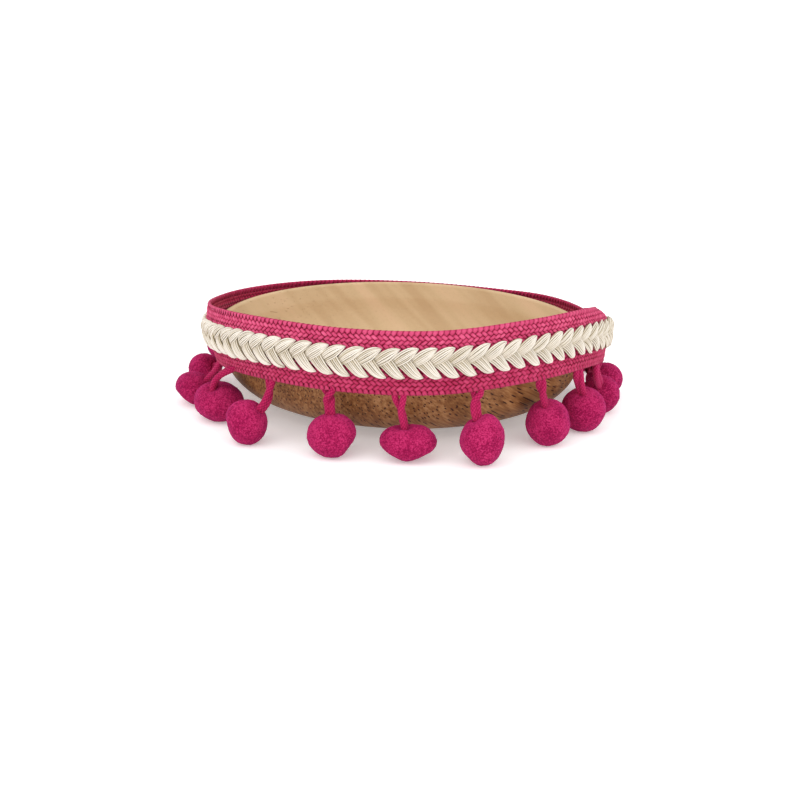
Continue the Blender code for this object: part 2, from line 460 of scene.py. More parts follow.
def smooth_through(knots: Array, values: Array, places: Array) -> Array:
    """Return values on a smooth curve through known ones.

    Args:
        knots: Where the known values are, in rising order.
        values: The known values, as numbers or as points.
        places: Where values are wanted.

    Returns:
        The value at each place.
    """
    slopes = np.gradient(values, knots, axis=0)
    index = np.clip(np.searchsorted(knots, places) - 1, 0, len(knots) - 2)
    span = knots[index + 1] - knots[index]
    share = (places - knots[index]) / span
    if values.ndim > 1:
        span, share = span[..., None], share[..., None]
    square, cube = share**2, share**3
    return (
        (2 * cube - 3 * square + 1) * values[index]
        + (cube - 2 * square + share) * span * slopes[index]
        + (3 * square - 2 * cube) * values[index + 1]
        + (cube - square) * span * slopes[index + 1]
    )


def add_object(name: str, data: bpy.types.ID) -> bpy.types.Object:
    """Put a new object into the scene."""
    item = bpy.data.objects.new(name, data)
    bpy.context.scene.collection.objects.link(item)
    return item


def place_piece(item: Piece, material: Material, slot: Slot, *nodes: str) -> Piece:
    """Dress a piece and tie it to the frame.

    Args:
        item: The piece.
        material: Its finish, for a piece that has none yet.
        slot: The record's slot that the finish belongs to; not used.
        nodes: The frame's nodes that it stands for.

    Returns:
        The piece.
    """
    if not item.data.materials:
        item.data.materials.append(material)
    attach(item, BODY)
    if nodes:
        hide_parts(*nodes)
    return item


def tube_faces(tubes: int, rings: int, sides: int) -> Array:
    """Return the faces of closed tubes that lie one after another.

    Args:
        tubes: How many tubes there are.
        rings: How many rings each has.
        sides: How many points each ring has, an even number.

    Returns:
        The four points of each face.
    """
    ring, side = np.meshgrid(np.arange(rings - 1), np.arange(sides), indexing="ij")
    start = (ring * sides + side).ravel()
    ahead = (ring * sides + (side + 1) % sides).ravel()
    walls = np.stack([start, ahead, ahead + sides, start + sides], axis=1)
    caps = []
    for left in range(1, sides - 2, 2):
        cap = [0, left + 2, left + 1, left]
        caps.append(cap)
        caps.append([(rings - 1) * sides + index for index in cap[::-1]])
    one = np.concatenate([walls, np.array(caps)])
    return (one[None] + np.arange(tubes)[:, None, None] * rings * sides).reshape(-1, 4)


def rings_round(line: Array, outwards: Array, across: Array, thick: Array, sides: int) -> Array:
    """Return the rings of tubes that follow lines.

    Args:
        line: The middle points, by tube and ring.
        outwards: A direction away from the surface at each middle point.
        across: Half the tube's width at each ring.
        thick: Half the tube's thickness at each ring.
        sides: How many points each ring has.

    Returns:
        The points by tube, ring and side.
    """
    along = unit(np.gradient(line, axis=1))
    sideways = unit(np.cross(along, outwards))
    up = np.cross(sideways, along)
    turn = turns(sides)
    return (
        line[:, :, None]
        + (across[..., None] * np.cos(turn))[..., None] * sideways[:, :, None]
        + (thick[..., None] * np.sin(turn))[..., None] * up[:, :, None]
    )


def turns(sides: int) -> Array:
    """Return the angle of each point of a ring, in radians."""
    return np.arange(sides) * math.tau / sides


@dataclass
class TubeBatch:
    """Closed tubes of one shape, gathered into one mesh with their yarn's values."""

    name: str
    points: list[Array] = field(default_factory=list)
    faces: list[Array] = field(default_factory=list)
    values: list[list[Array]] = field(default_factory=lambda: [[], [], [], []])
    count: int = 0

    def add(
        self, rings: Array, along: Array, around: Array, tone: Array, painted_light: Array | float
    ) -> None:
        """Add tubes of one shape and handedness.

        Args:
            rings: Points by tube, ring and side.
            along: How far along the yarn each point is, for its fibres.
            around: How far round the yarn it is.
            tone: Light or dark from 0 to 1, one for each tube.
            painted_light: Painted light from 0 to 1: brighter on crests and lit sides, darker
                in gaps and shade.
        """
        shape = rings.shape[:3]
        faces = tube_faces(*shape)
        flat = rings.reshape(-1, 3)
        first = faces[: len(faces) // shape[0]]
        corners = flat[first] - flat[: shape[1] * shape[2]].mean(axis=0)
        volume = (corners[:, 0] * np.cross(corners[:, 1], corners[:, 2])).sum()
        if volume < 0:
            faces = faces[:, ::-1]
        self.points.append(flat)
        self.faces.append(faces + self.count)
        self.count += len(flat)
        for store, value in zip(self.values, (along, around, tone[:, None, None], painted_light)):
            store.append(np.broadcast_to(value, shape).ravel())

    def build(self) -> Piece:
        """Make the piece.

        Returns:
            The new object.
        """
        points, faces = np.concatenate(self.points), np.concatenate(self.faces)
        mesh = bpy.data.meshes.new(self.name)
        mesh.vertices.add(len(points))
        mesh.vertices.foreach_set("co", points.astype(np.float32).ravel())
        mesh.loops.add(faces.size)
        mesh.loops.foreach_set("vertex_index", faces.astype(np.int32).ravel())
        mesh.polygons.add(len(faces))
        mesh.polygons.foreach_set("loop_start", np.arange(0, faces.size, 4, dtype=np.int32))
        mesh.update(calc_edges=True)
        mesh.shade_smooth()
        along, around, tone, painted_light = (np.concatenate(value) for value in self.values)
        thread = np.stack([along, around], axis=-1)[faces.ravel()]
        layer = mesh.uv_layers.new(name="thread")
        layer.data.foreach_set("uv", thread.astype(np.float32).ravel())
        for name, value in (("tone", tone), ("painted_light", painted_light)):
            attribute = mesh.attributes.new(name, "FLOAT", "POINT")
            attribute.data.foreach_set("value", value.astype(np.float32))
        return add_object(self.name, mesh)


# ---- the strip's path ------------------------------------------------------
@dataclass(frozen=True)
class Station:
    """One place of the strip's upper edge: degrees from the front, then millimetres."""

    angle: float
    reach: float
    rise: float
    curl: float
    tuck: float


class StripPath:
    """The way the strip runs round the bowl, and the surface that it lies on."""

    WIDTH = 17.7 * MM
    LEAN = math.radians(7.1)
    FOLD = 3.2
    FOLD_DROP = 0.35
    MIDDLE = np.array([0.3 * MM, 0.0, 0.0])
    STEPS = 3000
    STATIONS = (
        Station(88, 58.6, 27.3, 0.3, 1.0),
        Station(108, 58.7, 26.3, 0.3, 0.6),
        Station(128, 59.3, 25.2, 0.2, 0.2),
        Station(150, 59.6, 23.5, 0.0, 0.0),
        Station(180, 59.6, 23.3, 0.0, 0.0),
        Station(210, 60.1, 24.4, 0.0, 0.0),
        Station(240, 60.5, 26.0, 0.0, 1.0),
        Station(260, 60.4, 27.8, 0.2, 2.3),
        Station(280, 60.3, 30.7, 0.4, 3.2),
        Station(300, 60.6, 33.7, 0.2, 2.1),
        Station(320, 60.3, 35.6, 0.0, 0.8),
        Station(345, 60.0, 36.2, 0.0, 0.2),
        Station(370, 60.1, 36.6, 0.0, 0.0),
        Station(395, 60.7, 38.0, 0.0, 0.0),
        Station(420, 61.6, 37.3, 0.8, 0.4),
        Station(440, 62.3, 33.8, 4.4, 0.9),
        Station(455, 62.8, 29.9, 5.0, 1.0),
        Station(465.5, 62.9, 26.9, 3.6, 0.6),
    )

    def __init__(self) -> None:
        """Measure the path."""
        self.down_vector = np.array([0.0, -math.sin(self.LEAN), -math.cos(self.LEAN)])
        ends = self.STATIONS[0].angle, self.STATIONS[-1].angle
        self._angles = np.linspace(*ends, self.STEPS)
        self._runs = run_lengths(self.points(self._angles, 0.0, self.WIDTH / 2))
        self.length = float(self._runs[-1])

    def column(self, angle: Array, name: str) -> Array:
        """Return one measure of the stations at any angle, on a smooth curve."""
        rows = [(station.angle, getattr(station, name)) for station in self.STATIONS]
        angles, values = np.array(rows, dtype=float).T
        return smooth_through(angles, values, angle)

    @staticmethod
    def away(angle: Array | float) -> Array:
        """Return the level direction away from the axis at each angle."""
        turn = np.radians(angle)
        return np.stack([np.sin(turn), -np.cos(turn), np.zeros_like(turn)], axis=-1)

    def points(self, angle: Array | float, out: Array | float, down: Array | float) -> Array:
        """Return points of the strip.

        Args:
            angle: Angles in degrees.
            out: Distances outwards from the strip's middle surface.
            down: Distances down from its upper edge.

        Returns:
            The points.
        """
        angle, out, down = np.broadcast_arrays(angle, out, down)
        share = 2 * down / self.WIDTH - 1
        upper = np.maximum(-share, 0)
        amount = self.column(angle, "curl") * MM
        curl = amount * upper**self.FOLD
        slope = amount * self.FOLD * upper ** (self.FOLD - 1) * 2 / self.WIDTH
        tilt = np.arctan2(slope, math.cos(self.LEAN) - self.FOLD_DROP * slope)
        tuck = self.column(angle, "tuck") * MM * np.maximum(share, 0)
        reach = self.column(angle, "reach") * MM + out * np.cos(tilt) - curl - tuck
        rise = self.column(angle, "rise") * MM + out * np.sin(tilt) - self.FOLD_DROP * curl
        level = self.MIDDLE + reach[..., None] * self.away(angle)
        return level + rise[..., None] * UP + down[..., None] * self.down_vector

    def angle_at(self, run: Array) -> Array:
        """Return the angle at each distance along the strip's middle."""
        slope = (self._angles[-1] - self._angles[-2]) / (self._runs[-1] - self._runs[-2])
        beyond = run - np.clip(run, 0.0, self.length)
        return np.interp(run, self._runs, self._angles) + beyond * slope

    def lay(self, run: Array, down: Array, out: Array | float) -> Array:
        """Return points given by distance along, down and outwards."""
        return self.points(self.angle_at(run), out, down)

    def lower_edge_direction(self, angle: float) -> Vector:
        """Return the way the lower edge runs at an angle."""
        pair = self.points(np.array([angle - 0.5, angle + 0.5]), 0.0, self.WIDTH)
        return Vector(pair[1] - pair[0]).normalized()


# ---- flat braided strip ----------------------------------------------------
@dataclass(frozen=True)
class StitchShape:
    """A stitch's outline from end to end, in shares of its full length, width and
    height, and that height."""

    steps: Floats
    wide: Floats
    high: Floats
    height: float


STITCH_SHAPES = {
    Side.OUTER: StitchShape(
        (-1.0, -0.62, 0.0, 0.62, 1.0),
        (0.82, 1.0, 1.0, 1.0, 0.82),
        (0.04, 0.84, 1.0, 0.84, 0.04),
        0.40 * MM,
    ),
    Side.INNER: StitchShape(
        (-1.0, 0.0, 1.0), (0.90, 1.0, 0.90), (0.10, 1.0, 0.10), 0.15 * MM
    ),
}


@dataclass
class GroundBraid:
    """The flat herringbone braid: a thin core under rows of slanted stitches.

    A stitch's section is given in shares of its half width and its height, and the
    turns round the edges are widest where they turn and fade towards both ends.
    """

    path: StripPath
    finish: YarnFinish
    shaded_inner_finish: YarnFinish
    core_thickness: float = 0.62 * MM
    core_inset: float = 0.25 * MM
    core_steps: int = 300
    core_rows: int = 20
    core_tone: float = 0.3
    rows: int = 14
    hidden_rows: range = range(6, 8)
    pitch: float = 1.60 * MM
    first_stitch: float = 0.75
    stagger: float = 0.5
    stitch_reach: float = 1.06
    stitch_fullness: float = 1.10
    stitch_sink: float = 0.05 * MM
    section: Pairs = (
        (-1.0, 0.0), (-0.72, 0.86), (0.0, 1.0), (0.72, 0.86), (1.0, 0.0), (0.0, -0.15),
    )
    run_uneven: float = 0.06 * MM
    down_uneven: float = 0.025 * MM
    size_uneven: float = 0.06
    lean_uneven: float = 0.08
    painted_light_curve: float = 0.7
    rim_height: float = 21.0 * MM
    low_light: float = 0.70
    wrap_steps: Floats = (-1.0, -0.75, -0.40, -0.20, 0.0, 0.20, 0.40, 0.70, 1.0)
    wrap_sides: int = 6
    wrap_inset: float = 0.52 * MM
    wrap_turn: float = 0.40
    wrap_radius: float = 0.42 * MM
    wrap_length: float = 0.85 * MM
    wrap_lean: float = 1.05 * MM
    wrap_width: float = 0.86 * MM
    wrap_thickness: float = 0.16 * MM
    wrap_sinks: float = 0.75
    wrap_narrows: float = 0.30
    wrap_thins: float = 0.45
    wrap_tuck_shade: float = 0.8
    wrap_uneven: float = 0.04 * MM
    yarn_length: float = 40.0
    seed: int = 7

    def build(self) -> list[Piece]:
        """Make the braid's pieces.

        Returns:
            The core first, then the stitches of its faces and edges.
        """
        material = self.finish.material()
        # The inner face gets a darker copy of the same yarn: painted shade.
        finishes = {Side.OUTER: material, Side.INNER: self.shaded_inner_finish.material()}
        pieces = [place_piece(self.core(), material, Slot.PINK_BRAID, "ground_braid")]
        for side in Side:
            pieces.append(place_piece(self.stitches(side), finishes[side], Slot.PINK_BRAID))
        pieces.append(place_piece(self.edges(), material, Slot.PINK_BRAID))
        return pieces

    def core(self) -> Piece:
        """Make the closed thin core that the stitches lie on.

        Returns:
            The core.
        """
        run = np.linspace(0.0, self.path.length, self.core_steps)[:, None]
        down = np.linspace(self.core_inset, self.path.WIDTH - self.core_inset, self.core_rows)
        down = np.concatenate([down, down[::-1]])
        out = np.repeat([self.core_thickness / 2, -self.core_thickness / 2], self.core_rows)
        batch = TubeBatch("braid_core")
        rings = self.path.lay(run, down, out)[None]
        # The core gets no painted light: painted shade where it shows between the stitches.
        batch.add(rings, run / MM, down / MM, np.array([self.core_tone]), 0.0)
        return batch.build()

    def stitches(self, side: Side) -> Piece:
        """Make the slanted stitches of one face.

        Args:
            side: The face.

        Returns:
            The stitches as one piece.
        """
        rng = np.random.default_rng(self.seed + side.value)
        batch = TubeBatch(f"braid_stitches_{side.name.lower()}")
        count = int(self.path.length / self.pitch)
        for row in range(1, self.rows - 1):
            if side is Side.OUTER and row in self.hidden_rows:
                continue
            slant = Slant.RISING if row % 2 == 0 else Slant.FALLING
            run = np.arange(count) + self.first_stitch + self.stagger * (row % 2)
            run = run * self.pitch + rng.normal(0.0, self.run_uneven, count)
            down = (row + 0.5) * self.path.WIDTH / self.rows
            down = down + rng.normal(0.0, self.down_uneven, count)
            if side is Side.INNER:
                seen = self.path.lay(run, down, 0.0)[:, 2] > self.rim_height
                run, down = run[seen], down[seen]
            # Rows below the plait get painted shade.
            light = 1.0 if row < self.hidden_rows.start else self.low_light
            if len(run):
                self.add_row(batch, side, slant, (run, down, light), rng)
        return batch.build()

    def add_row(
        self,
        batch: TubeBatch,
        side: Side,
        slant: Slant,
        places: tuple[Array, Array, float],
        rng: np.random.Generator,
    ) -> None:
        """Add one row of stitches, each two crossings long and one wide.

        Args:
            batch: The mesh that they go into.
            side: The strip's face.
            slant: The way they lean.
            places: The middle of each along and down the strip, and how much painted light they
                get.
            rng: The source of small unevenness.
        """
        run, down, light = places
        shape = STITCH_SHAPES[side]
        each = (len(run), 1, 1)
        size = rng.normal(1.0, self.size_uneven, each)
        lean = rng.normal(1.0, self.lean_uneven, each)
        cross, lift = np.array(self.section).T
        along = np.array(shape.steps)[:, None] * self.stitch_reach
        wide, high = np.array(shape.wide)[:, None], np.array(shape.high)[:, None]
        width = cross * wide / 2 * self.stitch_fullness * size
        height = lift * high * size
        runs = run[:, None, None] + (along + width) * self.pitch / 2
        fall = (along * lean - width) * self.path.WIDTH / self.rows / 2
        downs = down[:, None, None] + slant.value * fall
        base = self.core_thickness / 2 - self.stitch_sink
        rings = self.path.lay(runs, downs, side.value * (base + height * shape.height))
        offset = rng.uniform(0.0, self.yarn_length, each)
        # Painted light from each stitch's height: painted highlight on its crest, painted shade
        # in the gaps.
        painted_light = light * np.clip(height, 0.0, 1.0) ** self.painted_light_curve
        tone = rng.uniform(0, 1, len(run))
        batch.add(rings, along + offset, cross + offset, tone, painted_light)

    def edges(self) -> Piece:
        """Make the turns of yarn that wrap both long edges.

        Returns:
            The turns as one piece.
        """
        rng = np.random.default_rng(self.seed + 11)
        batch = TubeBatch("braid_selvedges")
        count = int(self.path.length / self.pitch)
        run = (np.arange(count)[:, None] + 0.5) * self.pitch
        sweep = np.array(self.wrap_steps)
        turn = np.clip(sweep / self.wrap_turn, -1.0, 1.0) * math.pi / 2
        past = np.maximum(np.abs(sweep) - self.wrap_turn, 0.0) / (1 - self.wrap_turn)
        fall = np.cos(turn) * self.wrap_radius - past * self.wrap_length
        out = np.sin(turn) * self.wrap_radius * (1 - self.wrap_sinks * past**2)
        across = self.wrap_width * (1 - self.wrap_narrows * past**2)
        thick = self.wrap_thickness * (1 - self.wrap_thins * past**2)
        angle = turns(self.wrap_sides)
        # Painted light on the turns: painted highlight on the outer side of each turn, painted
        # shade on its inner-face half and towards its ends, which go under the stitches.
        top_light = 0.30 + 0.60 * np.maximum(np.sin(angle), 0.0) ** 0.6
        seen = np.interp(sweep, (-0.30, 0.10), (0.25, 1.0)) * (1 - self.wrap_tuck_shade * past**3)
        # The lower edge gets the lower rows' painted shade.
        for edge, middle, start, light in (
            (Edge.UPPER, self.wrap_inset, 0.25, 1.0),
            (Edge.LOWER, self.path.WIDTH - self.wrap_inset, 0.75, self.low_light),
        ):
            runs = run + start * self.pitch - sweep * self.wrap_lean
            runs = runs + rng.normal(0.0, self.wrap_uneven, (count, 1))
            line = self.path.lay(runs, middle + edge.value * fall, out)
            heart = self.path.lay(runs, middle - edge.value * past * MM, 0.0)
            rings = rings_round(line, unit(line - heart), across, thick, self.wrap_sides)
            offset = rng.uniform(0.0, self.yarn_length, (count, 1, 1))
            painted_light = light * seen[:, None] * top_light
            tone = rng.uniform(0.3, 1, count)
            batch.add(rings, sweep[:, None] + offset, np.cos(angle) + offset, tone, painted_light)
        return batch.build()


# ---- cream plait -----------------------------------------------------------
@dataclass(frozen=True)
class Leaf:
    """One kind of leaf in the plait: its two edges from root to tip, in millimetres
    along and down the strip from where its pair starts."""

    outer: Pairs
    inner: Pairs

    def lane(self, across: float, share: Array) -> Array:
        """Return places between the outer edge at 0 and the inner edge at 1."""
        outer, inner = self.edge(self.outer, share), self.edge(self.inner, share)
        return ((1 - across) * outer + across * inner) * MM

    @staticmethod
    def edge(corners: Sequence[tuple[float, float]], share: Array) -> Array:
        """Return places on the smooth curve of an edge."""
        line = np.array(corners)
        runs = run_lengths(line)
        return smooth_through(runs / runs[-1], line, share)


UPPER_LEAF = Leaf(
    outer=(
        (-2.4, 8.8), (-1.25, 7.3), (-0.5, 6.4), (0.5, 5.5), (1.55, 4.85), (2.8, 4.38),
        (4.1, 4.3), (5.5, 4.7),
    ),
    inner=(
        (-1.1, 10.2), (0.0, 9.5), (1.5, 8.6), (2.75, 7.85), (3.5, 7.15), (4.3, 6.25),
        (4.94, 5.5), (5.5, 4.8),
    ),
)
LOWER_LEAF = Leaf(
    outer=(
        (-1.3, 8.3), (-0.3, 9.15), (0.6, 9.8), (1.4, 10.4), (2.35, 11.3), (3.6, 12.3),
        (5.1, 12.85), (6.9, 12.78),
    ),
    inner=((1.9, 6.0), (2.9, 7.2), (4.1, 8.7), (5.15, 10.2), (6.1, 11.6), (6.9, 12.68)),
)


@dataclass
class Plait:
    """The raised plait: bundles of threads that cross over the strip's middle.

    Heights are shares of the crown's height at even steps along a leaf, and light is
    given in the same way at the steps beside it. A soft bed fills each leaf.
    """

    path: StripPath
    finish: YarnFinish
    pitch: float = 4.98 * MM
    first: float = 4.94 * MM
    end_gap: float = 0.35 * MM
    rings: int = 10
    face: float = 0.62 * MM
    crown: float = 1.38 * MM
    heights: Floats = (0.02, 0.12, 0.55, 0.88, 1.0, 1.03, 0.97, 0.82, 0.56, 0.16)
    light_steps: Floats = (0.0, 0.25, 0.6, 1.0)
    light: Floats = (0.36, 0.74, 1.0, 1.06)
    arch: float = 0.34
    arch_curve: float = 2.2
    bed_sides: int = 8
    bed_shortest: float = 0.25
    bed_width: float = 0.94
    bed_height: float = 0.5
    bed_thickness: float = 0.42
    bed_depth: float = 0.10 * MM
    bed_light: float = 0.40
    threads: int = 7
    outermost: float = 0.03
    sides: int = 6
    shortest: float = 0.15
    thread_radius: float = 0.234 * MM
    thread_lift: float = 0.05 * MM
    thins_from: float = 0.7
    thinning: float = 0.55
    twists: float = 7.0
    yarn_length: float = 60.0
    plain_share: float = 0.28
    pitch_uneven: float = 0.07 * MM
    size_uneven: float = 0.04
    shift_uneven: float = 0.08 * MM
    reach_uneven: float = 0.022
    sway_uneven: float = 0.062 * MM
    height_uneven: float = 0.055 * MM
    radius_uneven: float = 0.06
    seed: int = 21

    def build(self) -> list[Piece]:
        """Make the plait.

        Returns:
            The bundles of thread and the filling under them.
        """
        material = self.finish.material()
        bundles = place_piece(self.bundles(), material, Slot.CREAM_COTTON, "cream_plait")
        return [bundles, place_piece(self.filling(), material, Slot.CREAM_COTTON)]

    def starts(self) -> Array:
        """Find where each pair of leaves starts, with small unevenness.

        Returns:
            The distances along the strip.
        """
        rng = np.random.default_rng(self.seed)
        count = int((self.path.length - self.first) / self.pitch) + 2
        starts = self.first + (np.arange(count) - 1) * self.pitch
        return starts + rng.normal(0.0, self.pitch_uneven, count)

    def filling(self) -> Piece:
        """Make the soft beds that fill the bundles from below.

        Returns:
            The filling.
        """
        batch = TubeBatch("plait_filling")
        rng = np.random.default_rng(self.seed + 1)
        for leaf in (UPPER_LEAF, LOWER_LEAF):
            starts = self.starts()
            low, high = self.limits(leaf, 0.5, starts)
            kept = high - low > self.bed_shortest
            share = np.linspace(0.0, 1.0, self.rings)
            share = (low + 0.01)[kept, None] + (high - low - 0.05)[kept, None] * share
            middle = leaf.lane(0.5, share)
            half = np.linalg.norm(leaf.lane(1.0, share) - leaf.lane(0.0, share), axis=-1) / 2
            runs, downs = starts[kept, None] + middle[..., 0], middle[..., 1]
            height = self.height_at(share) * self.crown
            outs = self.face + self.bed_height * height - self.bed_depth
            line, up = self.raised(runs, downs, outs)
            thick = self.bed_thickness * height + self.bed_depth
            rings = rings_round(line, up, self.bed_width * half, thick, self.bed_sides)
            around = np.linspace(0.0, 2.0, self.bed_sides)
            tone = rng.uniform(0.0, 0.3, len(share))
            # The bed gets a low painted light: painted shade where it shows between the
            # threads.
            batch.add(rings, share[..., None] * self.twists, around, tone, self.bed_light)
        return batch.build()

    def bundles(self) -> Piece:
        """Make every leaf as a bundle of threads.

        Returns:
            The threads as one piece.
        """
        rng = np.random.default_rng(self.seed + 2)
        batch = TubeBatch("plait_threads")
        starts = self.starts()
        for leaf in (UPPER_LEAF, LOWER_LEAF):
            size = rng.normal(1.0, self.size_uneven, len(starts))
            shift = rng.normal(0.0, self.shift_uneven, len(starts))
            for across in np.linspace(self.outermost, 1 - self.outermost, self.threads):
                self.add_threads(batch, leaf, across, (starts, size, shift), rng)
        return batch.build()

    def height_at(self, share: Array) -> Array:
        """Return how high a leaf stands at each share of its length."""
        return np.interp(share, np.linspace(0.0, 1.0, len(self.heights)), self.heights)

    def raised(self, runs: Array, downs: Array, outs: Array) -> tuple[Array, Array]:
        """Return points above the strip, and the way away from it at each."""
        line = self.path.lay(runs, downs, outs)
        return line, self.path.lay(runs, downs, outs + 1 * MM) - line

    def limits(self, leaf: Leaf, across: float, starts: Array) -> tuple[Array, Array]:
        """Find how much of each leaf lies between the strip's two cut ends.

        Args:
            leaf: The kind of leaf.
            across: The place between its edges.
            starts: Where each pair starts.

        Returns:
            The shares where each leaf starts and ends.
        """
        fine = np.linspace(0.0, 1.0, 60)
        runs = np.maximum.accumulate(leaf.lane(across, fine)[:, 0])
        low = np.interp(self.end_gap - starts, runs, fine)
        high = np.interp(self.path.length - self.end_gap - starts, runs, fine)
        return low, high

    def add_threads(
        self,
        batch: TubeBatch,
        leaf: Leaf,
        across: float,
        places: tuple[Array, Array, Array],
        rng: np.random.Generator,
    ) -> None:
        """Add the same thread of every leaf of one kind.

        Args:
            batch: The mesh that they go into.
            leaf: The kind of leaf.
            across: The thread's place between the leaf's edges.
            places: Where each pair starts along the strip, and how high and how far
                down each leaf lies.
            rng: The source of small unevenness.
        """
        low, high = self.limits(leaf, across, places[0])
        kept = high - low > self.shortest
        low, high, starts, size, shift = (
            values[kept][:, None] for values in (low, high, *places)
        )
        each = (len(starts), 1)
        share = np.linspace(0.0, 1.0, self.rings) * (high - low) + low
        reach = 1 + rng.normal(0.0, self.reach_uneven, each)
        place = leaf.lane(across, np.clip(share * reach, 0.0, 1.0))
        sway = rng.normal(0.0, self.sway_uneven, each) * np.sqrt(np.sin(math.pi * share))
        height = self.height_at(share)
        arch = 1 - self.arch * abs(2 * across - 1) ** self.arch_curve
        outs = self.face + self.thread_lift + self.crown * height * arch * size
        outs = outs + rng.normal(0.0, self.height_uneven, each) * height
        line, up = self.raised(starts + place[..., 0], place[..., 1] + sway + shift, outs)
        tip = np.maximum(share - self.thins_from, 0.0) / (1 - self.thins_from)
        radii = self.thread_radius * rng.normal(1.0, self.radius_uneven, each)
        radii = radii * (1 - self.thinning * tip**2)
        rings = rings_round(line, up, radii, radii, self.sides)
        turn = turns(self.sides)
        offset = rng.uniform(0.0, self.yarn_length, (*each, 1))
        # Painted light along each thread: painted shade towards the leaf's root, where it comes
        # out from under the opposite leaf, and painted highlight on the thread's top side.
        light = np.interp(share, self.light_steps, self.light)
        painted_light = light[..., None] * np.clip(1.15 * np.sin(turn) + 0.10, 0.0, 1.0)
        plain = rng.uniform(0, 1, len(starts)) < self.plain_share
        tone = np.where(plain, 0.0, rng.uniform(0.6, 1.0, len(starts)))
        along = share[..., None] * self.twists + offset
        batch.add(rings, along, np.cos(turn) + offset, tone, painted_light)


# ---- cord loops and pompoms ------------------------------------------------
@dataclass(frozen=True)
class Facet:
    """A flattened place on a pompom: rightwards, towards the front, upwards, then
    its distance from the middle in millimetres."""

    right: float
    front: float
    up: float
    distance: float


@dataclass(frozen=True)
class Pompom:
    """One pompom with its loop, in degrees and millimetres.

    The root is where the loop leaves the strip, and the angle and the reach are where
    the ball lies. The loop meets the ball further out or to the side by shares of the
    ball's half size, its legs start apart by the spacing, twist by half turns and rise
    by the lift. The dent is the depth of the ball's dimple.
    """

    root: float
    angle: float
    reach: float
    width: float
    depth: float
    height: float
    turn: float = 0.0
    out: float = 0.0
    side: float = 0.0
    spacing: float = 2.6
    twist: float = 0.0
    lift: float = 0.0
    dent: float = 0.9
    facets: tuple[Facet, ...] = ()


# The balls rooted before this angle hang at the back and are modelled a little coarser.
BACK_UP_TO = 260.0
POMPOMS = (
    Pompom(114.0, 120.0, 70.0, 12.4, 12.0, 12.2, 10, twist=0.8),
    Pompom(133.5, 135.0, 71.5, 12.8, 12.4, 12.4, 40, twist=-0.7),
    Pompom(153.0, 153.0, 71.8, 12.2, 13.0, 12.6, 0, twist=0.4),
    Pompom(172.5, 171.0, 71.4, 13.4, 12.2, 12.0, 25, twist=1.0),
    Pompom(192.0, 189.0, 71.6, 12.6, 12.6, 12.8, 60, twist=-0.9),
    Pompom(211.5, 207.0, 71.2, 12.0, 13.2, 12.0, 15, twist=0.6),
    Pompom(231.0, 225.0, 71.4, 13.0, 12.0, 12.6, 0, twist=-0.5),
    Pompom(250.5, 239.5, 69.0, 12.4, 12.8, 12.2, 30, twist=0.8),
    Pompom(271.5, 263.4, 63.6, 9.6, 9.9, 10.1, 0, -0.9, spacing=1.6, twist=0.1),
    Pompom(
        288.0, 282.8, 65.3, 13.2, 11.4, 10.0, 0, -0.4, spacing=1.6, twist=0.1, lift=0.8,
        facets=(Facet(-0.63, 0.2, -0.77, 4.1),),
    ),
    Pompom(
        304.2, 298.8, 61.8, 16.8, 14.5, 11.6, 0, 0.55, -0.35, spacing=1.5, twist=0.1,
        lift=4.0, dent=1.5,
    ),
    Pompom(
        321.0, 319.3, 67.4, 12.2, 12.1, 13.0, 0, 0.0, 0.6, spacing=2.0, twist=0.5,
        facets=(Facet(-0.93, 0.2, -0.33, 5.5),),
    ),
    Pompom(
        340.0, 342.4, 63.1, 14.0, 12.9, 12.7, 0, spacing=3.0, twist=1.0,
        facets=(Facet(0.87, 0.1, -0.49, 6.0),),
    ),
    Pompom(
        359.2, 361.9, 62.2, 16.1, 11.6, 10.9, 0, spacing=2.6, twist=0.6, dent=1.9,
        facets=(Facet(-0.56, 0.1, -0.83, 5.7), Facet(0.47, 0.1, -0.88, 5.1)),
    ),
    Pompom(
        380.3, 379.4, 67.4, 12.4, 12.4, 15.1, 0, 0.1, -0.2, spacing=2.2, twist=1.0,
        facets=(Facet(-0.57, 0.1, 0.82, 5.9), Facet(-0.74, 0.1, -0.67, 7.0)),
    ),
    Pompom(400.2, 403.4, 61.3, 12.9, 12.8, 13.6, 0, spacing=1.3, twist=0.8),
    Pompom(416.8, 420.3, 61.9, 13.2, 13.2, 13.6, 0, spacing=1.7, twist=0.5),
    Pompom(431.5, 439.4, 62.2, 11.2, 11.5, 11.7, 0, spacing=1.3, twist=0.1),
    Pompom(449.5, 456.5, 64.8, 11.6, 12.2, 10.6, 0, -0.4, 1.0, spacing=1.4, twist=0.1),
)


